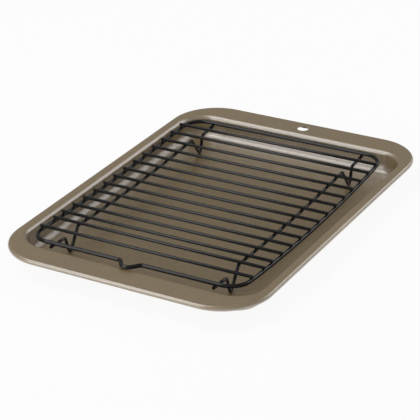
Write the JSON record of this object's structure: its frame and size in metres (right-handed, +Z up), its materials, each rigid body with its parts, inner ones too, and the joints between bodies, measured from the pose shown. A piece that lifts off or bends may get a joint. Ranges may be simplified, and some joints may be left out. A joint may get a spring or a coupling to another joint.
{
  "type": "sheet pan with rack",
  "caption": "Shallow rectangular steel baking pan with a rolled rim and a hanging hole, holding a loose wire rack on bent-wire legs.",
  "frame": {"origin": "centre of the pan's flat underside, on the surface that the pan stands on", "axes": "+Y along the pan's length to the rim with the hanging hole, +X across to the right, +Z up"},
  "size_m": [0.2398, 0.3378, 0.0243],
  "materials": {
    "pan_coating": "satin bronze non-stick coating on steel",
    "wire_coating": "semi-gloss black non-stick coating on steel wire"
  },
  "bodies": {
    "pan": {"sheet_pan": "pan_coating"},
    "rack": {"rack_frame": "wire_coating", "runner_left": "wire_coating", "runner_right": "wire_coating", "cross_wire_01": "wire_coating", "cross_wire_02": "wire_coating", "cross_wire_03": "wire_coating", "cross_wire_04": "wire_coating", "cross_wire_05": "wire_coating", "cross_wire_06": "wire_coating", "cross_wire_07": "wire_coating", "cross_wire_08": "wire_coating", "cross_wire_09": "wire_coating", "cross_wire_10": "wire_coating", "cross_wire_11": "wire_coating", "cross_wire_12": "wire_coating", "cross_wire_13": "wire_coating", "cross_wire_14": "wire_coating", "cross_wire_15": "wire_coating"}
  },
  "joints": [
    {"name": "rack_lift", "type": "slide", "parent": "pan", "child": "rack", "axis": [0, 0, 1], "range_m": [0, 0.06]}
  ]
}
